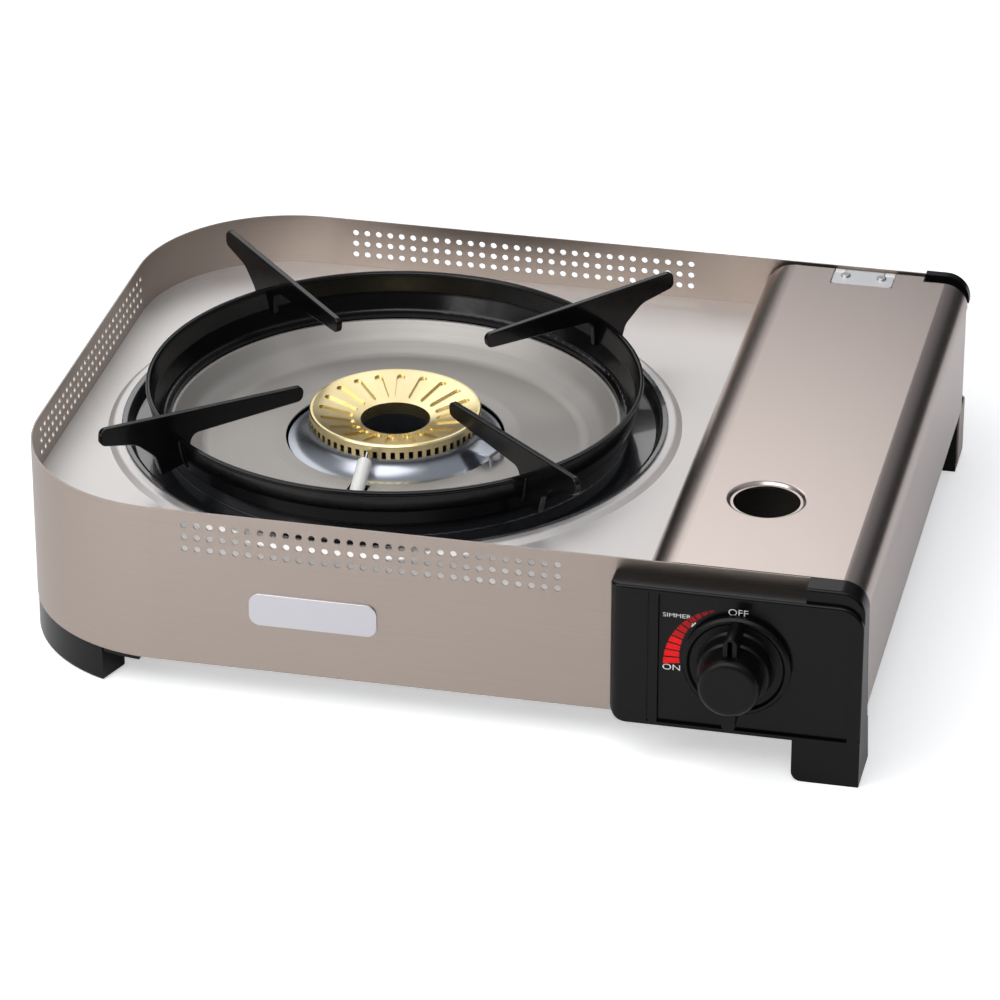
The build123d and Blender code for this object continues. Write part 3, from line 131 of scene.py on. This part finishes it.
# the room is dark near the horizon and pale overhead
world = bpy.data.worlds.new("studio")
world.use_nodes = True
toward = add_node(world, "ShaderNodeTexCoord")
height = add_node(world, "ShaderNodeSeparateXYZ", {0: toward.outputs["Generated"]})
glow = add_node(world, "ShaderNodeMapRange", {"Value": height.outputs["Z"], "From Min": 0.28,
                                              "From Max": 0.7, "To Min": 0.04, "To Max": 0.56})
room = world.node_tree.nodes["Background"]
room.inputs["Color"].default_value = linear("#DDE0E6")
world.node_tree.links.new(glow.outputs[0], room.inputs["Strength"])
bpy.context.scene.world = world


def add_mesh(name, points, faces):
    """A mesh object from an array of points in metres and a list of faces."""
    mesh = bpy.data.meshes.new(name)
    mesh.from_pydata(points.tolist(), [], faces.tolist() if hasattr(faces, "tolist") else faces)
    mesh.validate()
    piece = bpy.data.objects.new(name, mesh)
    bpy.context.scene.collection.objects.link(piece)
    return piece


floor_points = np.array([(-1.5, -3.0, 0), (1.5, -3.0, 0), (1.5, 0.85, 0), (-1.5, 0.85, 0)])
floor = add_mesh("floor", floor_points, [(0, 1, 2, 3)])
floor_paper, floor_shader = new_material("white_paper", "#FAFAFA", Roughness=0.9)
# the paper is a little brighter where it is looked at or mirrored, so that it ends up white
seen_lift = 0.44
mirrored_lift = 0.05
seen = add_node(floor_paper, "ShaderNodeLightPath")
mirrored = add_node(floor_paper, "ShaderNodeMath", {0: seen.outputs["Is Camera Ray"],
                                                    1: seen.outputs["Is Glossy Ray"]},
                    operation="MAXIMUM")
passed = add_node(floor_paper, "ShaderNodeMath", {0: mirrored.outputs[0],
                                                  1: seen.outputs["Is Transmission Ray"]},
                  operation="MAXIMUM")
lift = add_node(floor_paper, "ShaderNodeMath", {0: seen.outputs["Is Camera Ray"],
                                                1: seen_lift, 2: 0.0}, operation="MULTIPLY_ADD")
glow_in_metal = add_node(floor_paper, "ShaderNodeMath", {0: passed.outputs[0], 1: mirrored_lift},
                         operation="MULTIPLY")
link(floor_paper, glow_in_metal.outputs[0], lift, 2)
floor_shader.inputs["Emission Color"].default_value = (1.0, 1.0, 1.0, 1.0)
link(floor_paper, lift.outputs[0], floor_shader, "Emission Strength")
floor.data.materials.append(floor_paper)

# ---------------------------------------------------------------- windbreak
# One strip of stainless steel, brushed along its length and bent round the front, left side and
# back, with punched rows of air holes. A bare satin steel badge is stuck to its front.


def finish_nodes(material, *names):
    """Gives carried-over CAD nodes their finish."""
    for name in names:
        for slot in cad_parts[name].material_slots:
            slot.material = material


def brushed_steel(name, hex_colour, line_scale, roughness, contrast=0.02):
    """Brushed steel: noise that is long along the brushing and short across it. line_scale gives
    the noise's features per metre along X, Y and Z, and contrast how far the tone swings."""
    material, shader = new_material(name, hex_colour, Metallic=1.0, Roughness=roughness)
    place = add_node(material, "ShaderNodeTexCoord")
    lines = add_node(material, "ShaderNodeMapping", {"Vector": place.outputs["Object"],
                                                     "Scale": line_scale})
    grain = add_node(material, "ShaderNodeTexNoise", {"Vector": lines.outputs[0], "Scale": 1.0,
                                                      "Detail": 3.0, "Roughness": 0.6})
    tone = add_node(material, "ShaderNodeMapRange", {"Value": grain.outputs[0], "From Min": 0.3,
                                                     "From Max": 0.7,
                                                     "To Min": roughness - 0.8 * contrast,
                                                     "To Max": roughness + 0.8 * contrast})
    link(material, tone.outputs[0], shader, "Roughness")
    shade = add_node(material, "ShaderNodeMix", {0: grain.outputs[0]}, data_type="RGBA")
    colour = np.array(linear(hex_colour)[:3])
    shade.inputs[6].default_value = (*(colour * (1 - 2 * contrast)).tolist(), 1.0)
    shade.inputs[7].default_value = (*np.minimum(colour * (1 + 2 * contrast), 1.0).tolist(), 1.0)
    link(material, shade.outputs[2], shader, "Base Color")
    bump = add_node(material, "ShaderNodeBump", {"Height": grain.outputs[0],
                                                 "Strength": contrast, "Distance": 0.0002})
    link(material, bump.outputs[0], shader, "Normal")
    return material


# a warm champagne tone with level hairlines about 0.3 mm high that soften what it mirrors
wall_steel = brushed_steel("brushed_stainless_wall", "#AFA299", (12.0, 12.0, 3000.0), 0.34, 0.03)
finish_nodes(wall_steel, "windbreak_shell")

# a cool pale satin that stands out from the champagne wall
badge_steel = brushed_steel("satin_badge", "#D3D2D7", (40.0, 40.0, 3000.0), 0.36, 0.01)
finish_nodes(badge_steel, "badge_plate")

# ---------------------------------------------------------------- base pan and feet
# A plain pressed pan of galvanised steel closes the burner side from below. The mixing line and
# the cartridge bay are made of the same sheet. The feet, like the rear cap and the control panel,
# are moulded in black plastic with a fine grain and held by zinc-plated screws.

# dull cold grey with a cloudy bloom about 15 mm wide
galvanised = brushed_steel("galvanised_sheet", "#A9AAA9", (60.0, 60.0, 60.0), 0.42, 0.04)
finish_nodes(galvanised, "base_pan", "mixing_tube", "air_shutter", "mixer_bracket", "canister_bay")


def moulded_plastic(name, hex_colour, roughness, grain_strength=0.1):
    """Moulded plastic: a fine spark-eroded grain of about 0.4 mm over the whole surface."""
    material, shader = new_material(name, hex_colour, Roughness=roughness, IOR=1.5,
                                    Specular_IOR_Level=0.22)
    place = add_node(material, "ShaderNodeTexCoord")
    grain = add_node(material, "ShaderNodeTexNoise", {"Vector": place.outputs["Object"],
                                                      "Scale": 2200.0, "Detail": 2.0})
    bump = add_node(material, "ShaderNodeBump", {"Height": grain.outputs[0],
                                                 "Strength": grain_strength, "Distance": 0.00005})
    link(material, bump.outputs[0], shader, "Normal")
    sheen = add_node(material, "ShaderNodeMapRange", {"Value": grain.outputs[0],
                                                      "To Min": roughness - 0.04,
                                                      "To Max": roughness + 0.06})
    link(material, sheen.outputs[0], shader, "Roughness")
    return material


# deep black with a soft sheen, and bright lines only along its rounded edges
black_abs = moulded_plastic("black_abs", "#090909", 0.24)
finish_nodes(black_abs, "front_left_foot", "rear_left_foot", "control_panel", "rear_cap",
             "piezo_igniter")

# bright small metal parts, near to plain mirrors
screw_steel = brushed_steel("zinc_plated_steel", "#C8C8C6", (300.0, 300.0, 300.0), 0.26, 0.02)
finish_nodes(screw_steel, "foot_screws", "burner_screws", "panel_screws", "governor_screws",
             "hinge_rivets", "hinge_pin", "electrode", "socket_magnets")

# ---------------------------------------------------------------- top plate and dish
# The plate below the pan support is satin stainless steel, and the dish in its middle is pressed
# from the same sheet and spun, so its faint lines run round the burner.

burner_middle = np.array([-42.0, 11.0, 0.0]) * MM


def satin_steel(name, hex_colour, roughness):
    """Satin steel: a fine even matt with slight clouds of tone about 30 mm wide."""
    material, shader = new_material(name, hex_colour, Metallic=1.0, Roughness=roughness)
    place = add_node(material, "ShaderNodeTexCoord")
    cloud = add_node(material, "ShaderNodeTexNoise", {"Vector": place.outputs["Object"],
                                                      "Scale": 30.0, "Detail": 2.0})
    grain = add_node(material, "ShaderNodeTexNoise", {"Vector": place.outputs["Object"],
                                                      "Scale": 1800.0, "Detail": 2.0})
    tone = add_node(material, "ShaderNodeMapRange", {"Value": cloud.outputs[0],
                                                     "To Min": roughness - 0.03,
                                                     "To Max": roughness + 0.03})
    link(material, tone.outputs[0], shader, "Roughness")
    bump = add_node(material, "ShaderNodeBump", {"Height": grain.outputs[0], "Strength": 0.06,
                                                 "Distance": 0.00005})
    link(material, bump.outputs[0], shader, "Normal")
    return material


# an even silvery matt that shows only broad soft shades
plate_steel = satin_steel("satin_stainless_plate", "#EFEBE8", 0.56)
finish_nodes(plate_steel, "top_plate", "hinge_bracket")


def spun_steel(name, hex_colour, roughness):
    """Spun steel: lines about 1 mm apart that run round the burner, from the distance to its
    axis."""
    material, shader = new_material(name, hex_colour, Metallic=1.0, Roughness=roughness)
    place = add_node(material, "ShaderNodeTexCoord")
    centred = add_node(material, "ShaderNodeMapping", {"Vector": place.outputs["Object"],
                                                       "Location": (-burner_middle).tolist()})
    flat = add_node(material, "ShaderNodeVectorMath", {0: centred.outputs[0], 1: (1.0, 1.0, 0.0)},
                    operation="MULTIPLY")
    radius = add_node(material, "ShaderNodeVectorMath", {0: flat.outputs[0]}, operation="LENGTH")
    rings = add_node(material, "ShaderNodeTexNoise", {"W": radius.outputs["Value"], "Scale": 900.0,
                                                      "Detail": 2.0}, noise_dimensions="1D")
    tone = add_node(material, "ShaderNodeMapRange", {"Value": rings.outputs[0],
                                                     "To Min": roughness - 0.04,
                                                     "To Max": roughness + 0.05})
    link(material, tone.outputs[0], shader, "Roughness")
    bump = add_node(material, "ShaderNodeBump", {"Height": rings.outputs[0], "Strength": 0.05,
                                                 "Distance": 0.0001})
    link(material, bump.outputs[0], shader, "Normal")
    return material


# the dish shades in soft bands that follow its pressed steps
# its steel is painted darker than the plate's, though both are one sheet: painted shade for the
# dish sunk under the ring
dish_steel_painted_shade = spun_steel("spun_stainless_dish_painted_shade", "#BFBBB6", 0.61)
finish_nodes(dish_steel_painted_shade, "reflector_bowl")

# ---------------------------------------------------------------- drip tray and pan support
# Pressed steel under thick glossy black enamel: the tray drops into the plate's channel, and the
# ring with its four welded arms stands in it. The enamel softens every edge and ripples slightly.


def enamel(name, hex_colour, roughness, gloss, coat):
    """Vitreous enamel: a glossy black glass coat with ripples about 4 mm long. gloss is how much
    the enamel itself mirrors, and coat how much its clear top adds."""
    material, shader = new_material(name, hex_colour, Roughness=roughness, IOR=1.52,
                                    Specular_IOR_Level=gloss, Coat_Weight=coat,
                                    Coat_Roughness=0.06)
    place = add_node(material, "ShaderNodeTexCoord")
    ripple = add_node(material, "ShaderNodeTexNoise", {"Vector": place.outputs["Object"],
                                                       "Scale": 260.0, "Detail": 1.0})
    bump = add_node(material, "ShaderNodeBump", {"Height": ripple.outputs[0], "Strength": 0.12,
                                                 "Distance": 0.0003})
    link(material, bump.outputs[0], shader, "Normal")
    tone = add_node(material, "ShaderNodeMapRange", {"Value": ripple.outputs[0],
                                                     "To Min": roughness - 0.03,
                                                     "To Max": roughness + 0.05})
    link(material, tone.outputs[0], shader, "Roughness")
    return material


# wet-looking black with soft narrow highlights
black_enamel = enamel("black_enamel", "#0B0B0C", 0.17, 0.3, 0.08)
finish_nodes(black_enamel, "pan_support_ring", "pan_support_arm_1", "pan_support_arm_2",
             "pan_support_arm_3", "pan_support_arm_4")
# the tray is dipped twice, so its coat is full and its flat bottom mirrors the room paler
tray_enamel = enamel("thick_black_enamel", "#15161A", 0.24, 0.6, 1.0)
finish_nodes(tray_enamel, "drip_tray")

# the arms are welded to the outside of the ring: a rippled bead on each side of every arm,
# enamelled over with the rest. Its line follows the ring's profile. Sizes are in mm, and angles in
# degrees.
arm_angles = (45, 135, 225, 315)
bead_levels = np.array([66.4, 71.0, 78.8])
bead_radii = np.array([95.9, 97.9, 99.4])
bead_radius = 0.95
bead_from_arm = 1.5    # from the arm's middle plane to the bead's
bead_ripples = 9
bead_rings, bead_sides = 72, 12


def weld_bead(name, angle, side):
    """A bead that climbs the ring beside an arm: circles round a line along the ring's profile,
    with a radius that swells and shrinks once per ripple and tapers to nothing at both ends."""
    along = np.linspace(0, 1, bead_rings + 1)[:, None]
    around = np.linspace(0, 2 * np.pi, bead_sides + 1)[None, :-1]
    height = bead_levels[0] + (bead_levels[-1] - bead_levels[0]) * along
    out = np.interp(height, bead_levels, bead_radii)
    taper = np.sqrt(np.clip(1 - (2 * along - 1) ** 8, 0, 1))
    ripple = 0.86 + 0.14 * np.cos(2 * bead_ripples * np.pi * along)
    swell = bead_radius * taper * ripple
    radial = out + swell * np.cos(around)
    across = side * bead_from_arm + swell * np.sin(around)
    c, s = np.cos(np.radians(angle)), np.sin(np.radians(angle))
    x = burner_middle[0] + (radial * c - across * s) * MM
    y = burner_middle[1] + (radial * s + across * c) * MM
    z = np.broadcast_to(height * MM, x.shape)
    points = np.stack([x, y, z], axis=-1).reshape(-1, 3)
    row, column = np.meshgrid(np.arange(bead_rings), np.arange(bead_sides), indexing="ij")
    a = row * bead_sides + column
    b = row * bead_sides + (column + 1) % bead_sides
    faces = np.stack([a, b, b + bead_sides, a + bead_sides], axis=-1).reshape(-1, 4)
    bead = add_mesh(name, points, faces)
    bead.data.shade_smooth()
    bead.data.materials.append(black_enamel)
    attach(bead, "pan_support")


for arm, angle in enumerate(arm_angles):
    weld_bead(f"weld_bead_{2 * arm + 1}", angle, -1)
    weld_bead(f"weld_bead_{2 * arm + 2}", angle, 1)

# ---------------------------------------------------------------- burner
# The mixing head is cast aluminium with a bright skin. Its port ring is turned from brass, with
# pressed radial channels on top and a comb of flame slots round its rim.

# a bluish bright skin with broad highlights
cast_metal = satin_steel("bright_cast_aluminium", "#ACB0B8", 0.28)
finish_nodes(cast_metal, "burner_body", "heat_panel", "governor_body", "burner_stay")


def turned_brass(name, hex_colour, warm_colour, roughness):
    """Turned brass: slight clouds of a warmer tone about 11 mm wide, as heat leaves them."""
    material, shader = new_material(name, hex_colour, Metallic=1.0, Roughness=roughness)
    place = add_node(material, "ShaderNodeTexCoord")
    cloud = add_node(material, "ShaderNodeTexNoise", {"Vector": place.outputs["Object"],
                                                      "Scale": 90.0, "Detail": 3.0})
    warm = add_node(material, "ShaderNodeMix", {0: cloud.outputs[0]}, data_type="RGBA")
    warm.inputs[6].default_value = linear(warm_colour)
    warm.inputs[7].default_value = linear(hex_colour)
    link(material, warm.outputs[2], shader, "Base Color")
    tone = add_node(material, "ShaderNodeMapRange", {"Value": cloud.outputs[0],
                                                     "To Min": roughness - 0.03,
                                                     "To Max": roughness + 0.04})
    link(material, tone.outputs[0], shader, "Roughness")
    return material


# pale gold on top and deeper gold where it mirrors itself
brass = turned_brass("turned_brass", "#FFF1C6", "#EFD694", 0.28)
finish_nodes(brass, "burner_cap", "gas_jet", "gas_pipe", "canister_socket", "gas_spindle")

# ---------------------------------------------------------------- spark electrode
# A steel wire in a sleeve of white glazed porcelain stands in the dish's slot, in front of the
# burner. The igniter's plunger has the same white gloss.

porcelain, _ = new_material("white_porcelain", "#F1F0EC", Roughness=0.22, IOR=1.54)
finish_nodes(porcelain, "electrode_insulator", "igniter_plunger")

# ---------------------------------------------------------------- gas side
# The socket's seal is a black rubber ring, and the spark lead is sheathed in ivory silicone. Both
# are matt beside the plastics.

rubber = moulded_plastic("black_rubber", "#141414", 0.55)
finish_nodes(rubber, "socket_seal")
silicone = moulded_plastic("ivory_silicone", "#D9D3C4", 0.45)
finish_nodes(silicone, "igniter_lead")

# ---------------------------------------------------------------- control panel and knob
# The moulded panel holds a flush plate of smoother plastic with a printed dial. The knob is
# moulded in the same black, with a bar grip and a round cap.

# the plate is a shade glossier than the panel round it, and the knob a shade duller
plate_plastic = moulded_plastic("satin_black_plate", "#0B0B0C", 0.20, 0.05)
finish_nodes(plate_plastic, "face_plate")
knob_plastic = moulded_plastic("satin_black_knob", "#0A0A0A", 0.34)
finish_nodes(knob_plastic, "knob")

# ---------------------------------------------------------------- dial print
# Screen print on the plate round the knob: a tapering red arc in eleven steps that fades towards
# the low flame, a white tick, and plain white words. The ink stands a little proud of the plate.

knob_x, knob_z = 122.8, 47.1
ink_height = 0.05
print_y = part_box("face_plate")[0][1] - ink_height * MM


def print_piece(name, points, faces, ink):
    """A flat printed mark on the plate: points are X and Z in mm, and the mark faces the user."""
    places = np.column_stack([points[:, 0] * MM, np.full(len(points), print_y), points[:, 1] * MM])
    piece = add_mesh(name, places, faces)
    piece.data.materials.append(ink)
    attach(piece, "stove_body")


edge_points = 12


def arc_patch(angles, inner, outer):
    """One step of the arc: points along its inner and its outer edge, at radius and angle about
    the knob. Each argument holds its value at the step's start and end."""
    turn = np.radians(np.linspace(*angles, edge_points))
    ring = np.column_stack([np.cos(turn), np.sin(turn)])
    edges = [ring * np.linspace(*radii, edge_points)[:, None] for radii in (inner, outer)]
    return np.vstack(edges) + (knob_x, knob_z)


# the arc's angles and its radii in mm, from ON to the low flame
arc_angles = (187.0, 112.0)
arc_inner = (22.0, 22.6)
arc_outer = (28.4, 23.4)
arc_steps = 11
step_fill = 0.82    # the printed share of each step; the rest is the gap to the next
full_steps = 4      # steps in plain red before the fade
plain_red, faded_red = "#FD1619", "#191616"
step_faces = np.array([(i, i + 1, i + edge_points + 1, i + edge_points)
                       for i in range(edge_points - 1)])
for step in range(arc_steps):
    share = np.array([step, step + step_fill]) / arc_steps
    patch = arc_patch(*(np.interp(share, (0, 1), ends)
                        for ends in (arc_angles, arc_inner, arc_outer)))
    strength = 1.0 if step < full_steps else 0.6 - 0.065 * (step - full_steps)
    ink, ink_shader = new_material(f"red_ink_{step + 1}", plain_red, Roughness=0.35,
                                   Specular_IOR_Level=0.2)
    faded = strength * np.array(linear(plain_red)) + (1 - strength) * np.array(linear(faded_red))
    ink_shader.inputs["Base Color"].default_value = faded.tolist()
    print_piece(f"dial_step_{step + 1}", patch, step_faces, ink)

white_ink, _ = new_material("white_ink", "#E9E9E7", Roughness=0.4)
tick = np.array([(104.6, 60.9), (105.3, 60.3), (107.0, 62.2), (106.3, 62.8)])
print_piece("dial_tick", tick, [(0, 1, 2, 3)], white_ink)


def print_word(word, low, high):
    """A word as flat letters, fitted between two corners given as X and Z in mm."""
    curve = bpy.data.curves.new(word, "FONT")
    curve.body = word
    letters = bpy.data.objects.new(word, curve)
    bpy.context.scene.collection.objects.link(letters)
    letters_now = letters.evaluated_get(bpy.context.evaluated_depsgraph_get())
    flat = bpy.data.meshes.new_from_object(letters_now)
    bpy.data.objects.remove(letters)
    count = len(flat.vertices)
    places = np.empty(count * 3)
    flat.vertices.foreach_get("co", places)
    places = places.reshape(count, 3)[:, :2]
    places = (places - places.min(axis=0)) / np.ptp(places, axis=0)
    faces = [tuple(face.vertices) for face in flat.polygons]
    corners = np.array(low) + places * (np.array(high) - low)
    print_piece(f"word_{word.lower()}", corners, faces, white_ink)


print_word("OFF", (119.0, 67.1), (126.4, 69.8))
print_word("ON", (94.5, 41.1), (101.2, 43.5))
print_word("SIMMER", (94.3, 63.7), (105.0, 65.4))

# ---------------------------------------------------------------- cover and its hinge
# The cover is one sheet of stainless steel, bent over the cartridge bay and brushed along the
# stove's depth, so that its lines run from front to back. A leaf riveted to its rear edge turns on
# a pin.

# warm champagne again, with soft-edged bright and dark bands along its bends
cover_steel = brushed_steel("brushed_stainless_cover", "#CDBFB8", (3000.0, 10.0, 3000.0), 0.25)
finish_nodes(cover_steel, "canister_cover")

# the hinge leaf is bright zinc, paler than the cover under it
leaf_steel = brushed_steel("bright_zinc_leaf", "#EDEDEF", (300.0, 300.0, 300.0), 0.34, 0.02)
finish_nodes(leaf_steel, "hinge_leaf")
